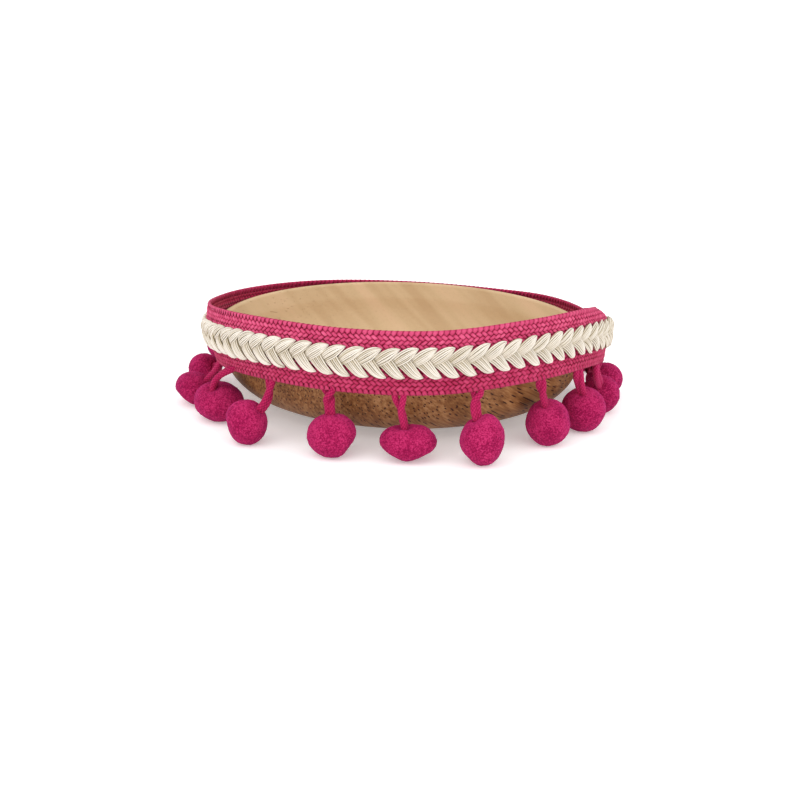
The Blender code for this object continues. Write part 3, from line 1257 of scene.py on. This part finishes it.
@dataclass
class FeltBall:
    """A felted pompom of its own shape, with a dimple where its loop goes in.

    Each kind of lump is given by how many there are in a millimetre and its height in
    millimetres.
    """

    row: Pompom
    number: int
    path: StripPath
    detail: int
    flat_spot: float = 0.25 * MM
    settled: float = 0.05 * MM
    softness: float = 0.7 * MM
    untouched: float = -6.0
    dimple_angle: float = 0.18
    dimple_growth: float = 0.13
    lumps: Pairs = ((0.22, 0.30), (0.9, 0.10), (2.2, 0.09))
    apart: Triple = (17.3, 5.1, 9.7)

    @property
    def dimple_depth(self) -> float:
        """How deep the dimple is."""
        return self.row.dent * MM

    @property
    def dimple_width(self) -> float:
        """Half the angle that the dimple takes up."""
        return self.dimple_angle + self.dimple_growth * self.row.dent

    @property
    def half_sizes(self) -> Vector:
        """Half the ball's width, depth and height."""
        return Vector((self.row.width, self.row.depth, self.row.height)) * (MM / 2)

    @property
    def center(self) -> Vector:
        """The ball's middle."""
        level = self.half_sizes.z - self.flat_spot
        away = self.path.away(self.row.angle)
        return Vector(self.path.MIDDLE + self.row.reach * MM * away + level * UP)

    @property
    def turn(self) -> Matrix:
        """The ball's turn about the upright axis."""
        return Matrix.Rotation(math.radians(self.row.angle + self.row.turn), 3, "Z")

    def entry(self) -> tuple[Vector, Vector]:
        """Find where the loop goes in.

        Returns:
            The place on the surface and the direction away from it.
        """
        row, sizes = self.row, self.half_sizes
        root = Vector(self.path.points(row.root, 0.0, self.path.WIDTH))
        away = Vector(self.path.away(row.angle))
        tip = row.out * away + row.side * self.path.lower_edge_direction(row.root)
        towards = self.turn.transposed() @ ((root - self.center).normalized() + tip)
        stretch = Matrix.Diagonal(sizes)
        shrink = Matrix.Diagonal(Vector(1 / size for size in sizes))
        place = (shrink @ towards).normalized()
        slope = (self.turn @ (shrink @ place)).normalized()
        return self.center + self.turn @ (stretch @ place), slope

    def build(self, material: Material) -> Piece:
        """Make the ball.

        Args:
            material: The felt.

        Returns:
            The ball.
        """
        name = f"felt_pompom_{self.number:02d}"
        ball = bmesh.new()
        bmesh.ops.create_icosphere(ball, subdivisions=self.detail, radius=1.0)
        sizes, center, turn = Matrix.Diagonal(self.half_sizes), self.center, self.turn
        dimple = (self.entry()[0] - center).normalized()
        offset = Vector(self.apart) * self.number
        for vert in ball.verts:
            point = self.flattened(turn @ (sizes @ vert.co))
            direction = point.normalized()
            share = direction.angle(dimple) / self.dimple_width
            point -= direction * self.dimple_depth * math.exp(-(share**2))
            point += direction * self.unevenness(point / MM + offset) + center
            if point.z < self.settled:
                point.z = 0.0
            vert.co = point
        mesh = bpy.data.meshes.new(name)
        ball.to_mesh(mesh)
        ball.free()
        mesh.shade_smooth()
        item = add_object(name, mesh)
        return place_piece(item, material, Slot.MAGENTA_FELT, f"pompom_{self.number:02d}")

    def flattened(self, point: Vector) -> Vector:
        """Press a point in where the ball has been squeezed flat.

        Args:
            point: A point from the ball's middle.

        Returns:
            The pressed point.
        """
        for facet in self.row.facets:
            normal = Vector((facet.right, -facet.front, facet.up)).normalized()
            over = (point.dot(normal) - facet.distance * MM) / self.softness
            if over > self.untouched:
                point = point - normal * self.softness * math.log1p(math.exp(over))
        return point

    def unevenness(self, place: Vector) -> float:
        """Return how far the felt stands out at a place, given in millimetres."""
        return sum(noise.noise(place * share) * height for share, height in self.lumps) * MM


@dataclass
class CordLoop:
    """A braided cord loop that carries one pompom.

    Its legs start apart, come together over the first part of the way to the ball, and
    turn inside it. Its flattened ends lie behind the strip.
    """

    ball: FeltBall
    diameter: float = 1.95 * MM
    sides: int = 24
    ring_step: float = 0.2 * MM
    braid_pitch: float = 1.1 * MM
    braid_strands: int = 6
    braid_relief: float = 0.13 * MM
    tucked: float = 1.3 * MM
    sewn_behind: float = 0.35 * MM
    depth_in_ball: float = 0.9 * MM
    leaving_share: float = 0.45
    landing_share: float = 0.30
    closed_spacing: float = 1.25 * MM
    closed_from: float = 0.6
    turn_reach: float = 0.7 * MM
    steps: int = 24
    smoothings: int = 6
    end_flat: float = 0.58
    end_length: float = 2.2 * MM
    yarn_width: float = 5.6

    def middle_line(self) -> list[Vector]:
        """Find the line midway between the two legs, from the strip to the ball.

        Returns:
            Its points.
        """
        root, lift = self.ball.row.root, self.ball.row.lift
        down = Vector(self.ball.path.down_vector)
        edge = Vector(self.ball.path.points(root, -self.sewn_behind, self.ball.path.WIDTH))
        seat, outwards = self.ball.entry()
        reach = (seat - edge).length
        level = Vector((seat.x - edge.x, seat.y - edge.y, 0.0)).normalized()
        leaving = (down + lift * level).normalized()
        landing = (outwards + Vector((0, 0, lift))).normalized()
        controls = [
            edge - self.tucked * down,
            edge + self.leaving_share * reach * leaving,
            seat + self.landing_share * reach * landing,
            seat - (self.ball.dimple_depth + self.depth_in_ball) * outwards,
        ]
        share = np.linspace(0.0, 1.0, self.steps + 1)
        rest = 1 - share
        weights = [rest**3, 3 * share * rest**2, 3 * share**2 * rest, share**3]
        return [Vector(point) for point in np.transpose(weights) @ np.array(controls)]

    def line(self) -> Array:
        """Find the loop's middle line: down one leg, round its turn and up the other.

        Returns:
            Points about one ring apart.
        """
        middle = self.middle_line()
        side = self.ball.path.lower_edge_direction(self.ball.row.root)
        there, back = [], []
        for index, point in enumerate(middle):
            ahead = middle[min(index + 1, self.steps)]
            tangent = (ahead - middle[max(index - 1, 0)]).normalized()
            side = (side - side.dot(tangent) * tangent).normalized()
            early = min(index / self.steps / self.closed_from, 1.0)
            ease = early**2 * (3 - 2 * early)
            turn = self.ball.row.twist * math.pi * ease
            spread = self.ball.row.spacing * MM * (1 - ease) + self.closed_spacing * ease
            offset = math.cos(turn) * side + math.sin(turn) * tangent.cross(side)
            there.append(point - offset * spread / 2)
            back.append(point + offset * spread / 2)
        inwards = (middle[-1] - middle[-2]).normalized()
        tip = (there[-1] + back[-1]) / 2 + inwards * self.turn_reach
        rough = np.array([*there, tip, *back[::-1]])
        runs = run_lengths(rough)
        even = np.linspace(0.0, runs[-1], int(runs[-1] / self.ring_step))
        line = np.stack([np.interp(even, runs, values) for values in rough.T], axis=1)
        for _ in range(self.smoothings):
            line[1:-1] = (line[:-2] + 2 * line[1:-1] + line[2:]) / 4
        return line

    def build(self, material: Material) -> Piece:
        """Make the loop.

        Args:
            material: The cord's yarn.

        Returns:
            The loop.
        """
        line = self.line()
        tangents = unit(np.gradient(line, axis=0))
        ups = [self.ball.path.away(self.ball.row.root)]
        for tangent in tangents:
            ups.append(unit(ups[-1] - ups[-1].dot(tangent) * tangent))
        up = np.array(ups[1:])
        sideways = np.cross(tangents, up)
        distance = np.arange(len(line))[:, None] * self.ring_step
        turn = turns(self.sides)
        wave = np.cos(distance * math.tau / self.braid_pitch)
        weave = np.cos(self.braid_strands * turn) * wave
        radius = self.diameter / 2 - self.braid_relief * (1 - weave) / 2
        fade = np.clip(np.minimum(distance, distance[::-1]) / self.end_length, 0.0, 1.0)
        flat = self.end_flat + (1 - self.end_flat) * fade
        rings = (
            line[:, None]
            + (radius * np.cos(turn))[..., None] * sideways[:, None]
            + (radius * flat * np.sin(turn))[..., None] * up[:, None]
        )
        tone = np.random.default_rng(100 + self.ball.number).uniform(0.3, 0.7, 1)
        around = turn / math.tau * self.yarn_width
        batch = TubeBatch(f"cord_loop_{self.ball.number:02d}")
        # Painted light from the braid's relief: painted highlight on the raised strands,
        # painted shade between them.
        batch.add(rings[None], distance / MM, around, tone, 0.5 + 0.5 * weave)
        node = f"hanging_loop_{self.ball.number:02d}"
        return place_piece(batch.build(), material, Slot.MAGENTA_CORD, node)


@dataclass
class PompomRow:
    """All the loops and pompoms along the strip's lower edge."""

    path: StripPath
    felt: FeltFinish
    cord: YarnFinish
    fine: int = 6
    coarse: int = 5

    def build(self) -> list[Piece]:
        """Make every loop and pompom.

        Returns:
            The pieces in the order of the strip.
        """
        felt, cord = self.felt.material(), self.cord.material()
        pieces = []
        for number, row in enumerate(POMPOMS, start=1):
            detail = self.coarse if (row.root < BACK_UP_TO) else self.fine
            ball = FeltBall(row, number, self.path, detail)
            pieces.append(CordLoop(ball).build(cord))
            pieces.append(ball.build(felt))
        return pieces


# ---- bowl ------------------------------------------------------------------
@dataclass
class TurnedBowl:
    """The shallow wooden bowl: a disc drawn out ring by ring, as on a lathe.

    Its side is given by shares of its height with the radius there, and its hollow by
    the radius with the height above its floor, both in millimetres.
    """

    inside: WoodFinish
    outside: WoodFinish
    rim_radius: float = 57.8 * MM
    height: float = 23.6 * MM
    foot_radius: float = 28.0 * MM
    floor: float = 4.6 * MM
    rounding: float = 1.2 * MM
    rounding_steps: int = 8
    steps: int = 160
    crease: float = 50.0
    level_from: float = 0.6
    side: Pairs = (
        (0.04, 33.6), (0.12, 42.8), (0.25, 49.8), (0.42, 53.6), (0.60, 55.2), (0.80, 56.5),
    )
    hollow: Pairs = (
        (53.3, 14.9), (51.6, 9.8), (48.6, 5.6), (43.0, 2.5), (34.0, 0.8), (20.0, 0.1),
        (1.0, 0.0),
    )

    def profile(self) -> Array:
        """Find the section from the foot's edge, up the outside and down the inside.

        Returns:
            Pairs of radius and height.
        """
        side = [(radius * MM, share * self.height) for share, radius in self.side]
        outer = self.smoothed([(self.foot_radius, 0.0), *side])
        middle = (self.rim_radius - self.rounding, self.height - self.rounding)
        angle = np.linspace(0.0, math.pi, self.rounding_steps + 1)
        rim = middle + self.rounding * np.stack([np.cos(angle), np.sin(angle)], axis=1)
        hollow = [(radius * MM, self.floor + depth * MM) for radius, depth in self.hollow]
        return np.concatenate([outer, rim, self.smoothed(hollow)])

    @staticmethod
    def smoothed(points: list[tuple[float, float]]) -> Array:
        """Put three more points between each two, on a smooth curve.

        Args:
            points: Pairs of radius and height.

        Returns:
            The finer line.
        """
        line = np.array(points)
        knots = run_lengths(line)
        quarters = np.arange(4 * len(line) - 3) / 4
        return smooth_through(knots, line, np.interp(quarters, np.arange(len(line)), knots))

    def build(self) -> Piece:
        """Turn the bowl.

        Returns:
            The bowl.
        """
        bpy.ops.object.select_all(action="DESELECT")
        profile = self.profile().tolist()
        bpy.ops.mesh.primitive_circle_add(
            vertices=self.steps, radius=profile[0][0], fill_type="NGON", location=(0, 0, 0)
        )
        bowl = bpy.context.active_object
        bowl.name = bowl.data.name = "turned_bowl"
        bpy.ops.object.mode_set(mode="EDIT")
        bpy.ops.mesh.select_mode(type="EDGE")
        bpy.ops.mesh.select_all(action="SELECT")
        for (radius, height), (next_radius, next_height) in zip(profile, profile[1:]):
            bpy.ops.mesh.extrude_edges_move(
                TRANSFORM_OT_translate={"value": (0, 0, next_height - height)}
            )
            share = next_radius / radius
            bpy.ops.transform.resize(value=(share, share, 1), center_override=(0, 0, 0))
        bpy.ops.mesh.merge(type="CENTER")
        bpy.ops.mesh.select_all(action="SELECT")
        bpy.ops.mesh.remove_doubles(threshold=0.01 * MM)
        bpy.ops.mesh.normals_make_consistent(inside=False)
        bpy.ops.object.mode_set(mode="OBJECT")
        bpy.ops.object.shade_smooth_by_angle(angle=math.radians(self.crease))
        self.dress(bowl)
        return bowl

    def dress(self, bowl: Piece) -> None:
        """Give the outside and the inside each a wood finish, the outside's darker and browner.

        Args:
            bowl: The bowl.
        """
        outside = self.outside.material()
        for material in (outside, self.inside.material()):
            bowl.data.materials.append(material)
        for face in bowl.data.polygons:
            center, normal = face.center, face.normal
            inwards = normal.x * center.x + normal.y * center.y < 0
            on_floor = normal.z > self.level_from and center.z < self.height / 2
            on_rim = center.z > self.height - self.rounding
            face.material_index = int(inwards or on_floor or on_rim)
        place_piece(bowl, outside, Slot.BOWL_WOOD, "bowl")


# ---- studio ----------------------------------------------------------------
@dataclass(frozen=True)
class SoftLight:
    """A wide, far and soft light that faces the bowl: the side that it shines from, how
    wide it looks in degrees, and its strength on a surface that faces it."""

    name: str
    place: Triple
    spread: float
    power: float

    def hang(self) -> None:
        """Put the light into the scene."""
        data = bpy.data.lights.new(self.name, "SUN")
        data.angle = math.radians(self.spread)
        data.energy = self.power
        light = add_object(self.name, data)
        light.location = self.place
        light.rotation_euler = (-Vector(self.place)).to_track_quat("-Z", "Y").to_euler()


@dataclass
class Studio:
    """The floor, the lights and the camera.

    The focal share is the focal length over the picture's width; the elevation and the
    roll are in degrees, and the sensor in millimetres.
    """

    focal_share: float = 1567.17 / 800
    sensor: float = 36.0
    elevation: float = 17.08
    roll: float = 1.61
    camera_place: Triple = (-0.22 * MM, -473.20 * MM, 143.76 * MM)
    nearest: float = 0.01
    farthest: float = 20.0
    floor_size: float = 9.0
    room_light: float = 0.95
    lights: tuple[SoftLight, ...] = (
        SoftLight("key", (-0.45, -0.60, 0.85), 60.0, 0.80),
        SoftLight("fill", (0.60, -0.35, 0.50), 80.0, 0.55),
    )

    def build(self) -> None:
        """Set up the studio."""
        self.add_camera()
        self.add_floor()
        self.light_room()
        for light in self.lights:
            light.hang()
        settings = bpy.context.scene.view_settings
        settings.view_transform = "Standard"
        settings.look = "None"

    def add_camera(self) -> None:
        """Make the camera and choose it."""
        data = bpy.data.cameras.new("camera")
        data.sensor_width = self.sensor
        data.lens = self.focal_share * self.sensor
        data.clip_start, data.clip_end = self.nearest, self.farthest
        camera = add_object("camera", data)
        tilt = Matrix.Rotation(math.radians(90 - self.elevation), 4, "X")
        roll = Matrix.Rotation(math.radians(self.roll), 4, "Z")
        camera.matrix_world = Matrix.Translation(self.camera_place) @ tilt @ roll
        bpy.context.scene.camera = camera

    def add_floor(self) -> None:
        """Lay the floor."""
        bpy.ops.object.select_all(action="DESELECT")
        bpy.ops.mesh.primitive_plane_add(size=self.floor_size, location=(0, 0, 0))
        floor = bpy.context.active_object
        floor.name = "floor"
        floor.data.materials.append(FloorFinish().material())

    def light_room(self) -> None:
        """Light the room evenly."""
        world = bpy.data.worlds.new("studio")
        bpy.context.scene.world = world
        world.use_nodes = True
        background = world.node_tree.nodes["Background"]
        background.inputs["Color"].default_value = WHITE
        background.inputs["Strength"].default_value = self.room_light


# ---- the whole object ------------------------------------------------------
PINK = YarnFinish(
    "pink_braid",
    paints("7A072A A8274E C6446C E8688F"),
    fibres=3.0,
    relief=0.05 * MM,
    sheen=0.05,
)
# A darker, redder copy of the pink yarn for the strip's inner face: painted shade on the same
# yarn.
PINK_SHADED_BACK = YarnFinish(
    "pink_braid_shaded_back",
    paints("961636 A42042 B02C4C BA3654"),
    fibres=3.0,
    relief=0.02 * MM,
)
CREAM = YarnFinish(
    "cream_cotton",
    paints("85744C C4B79D DBD0C0 EEE7DC"),
    fibres=4.0,
    relief=0.04 * MM,
    tone_share=0.20,
    sheen=0.28,
    sheen_tint=WHITE,
)
MAGENTA = YarnFinish(
    "magenta_cord",
    paints("780A38 A01848 C02860 DA4A80"),
    fibres=6.0,
    relief=0.05 * MM,
    speck=0.35 * MM,
    sheen_tint=(0.95, 0.4, 0.75, 1.0),
)
FELT = FeltFinish("magenta_felt", paints("820C3E A31A4F BE2F66"))
WOOD_INSIDE = WoodFinish(
    "bowl_wood_inside",
    paints("BE9F78 C8AB84 D0B08B A27C56"),
    pore_cell=0.9 * MM,
    pore_size=0.06,
    foot_shade=0.0,
    fine_share=0.10,
)
WOOD_OUTSIDE = WoodFinish(
    "bowl_wood_outside",
    paints("6E4422 9B6A3E C18F5E 3A1A0B"),
    pore_cell=1.1 * MM,
    pore_size=0.20,
    foot_shade=0.45,
    fine_share=0.65,
    fibre=(0.53, 0.73, -0.42),
    layers=(0.82, 0.3, 0.5),
)


def report(pieces: Sequence[Piece]) -> None:
    """Log each piece with its size."""
    for piece in pieces:
        LOG.info("%s: %d faces", piece.name, len(piece.data.polygons))


def main() -> None:
    """Build every piece in order."""
    path = StripPath()
    Studio().build()
    bowl = TurnedBowl(WOOD_INSIDE, WOOD_OUTSIDE).build()
    braid = GroundBraid(path, PINK, PINK_SHADED_BACK).build()
    plait = Plait(path, CREAM).build()
    row = PompomRow(path, FELT, MAGENTA).build()
    report([bowl, *braid, *plait, *row])


if __name__ == "__main__":
    main()
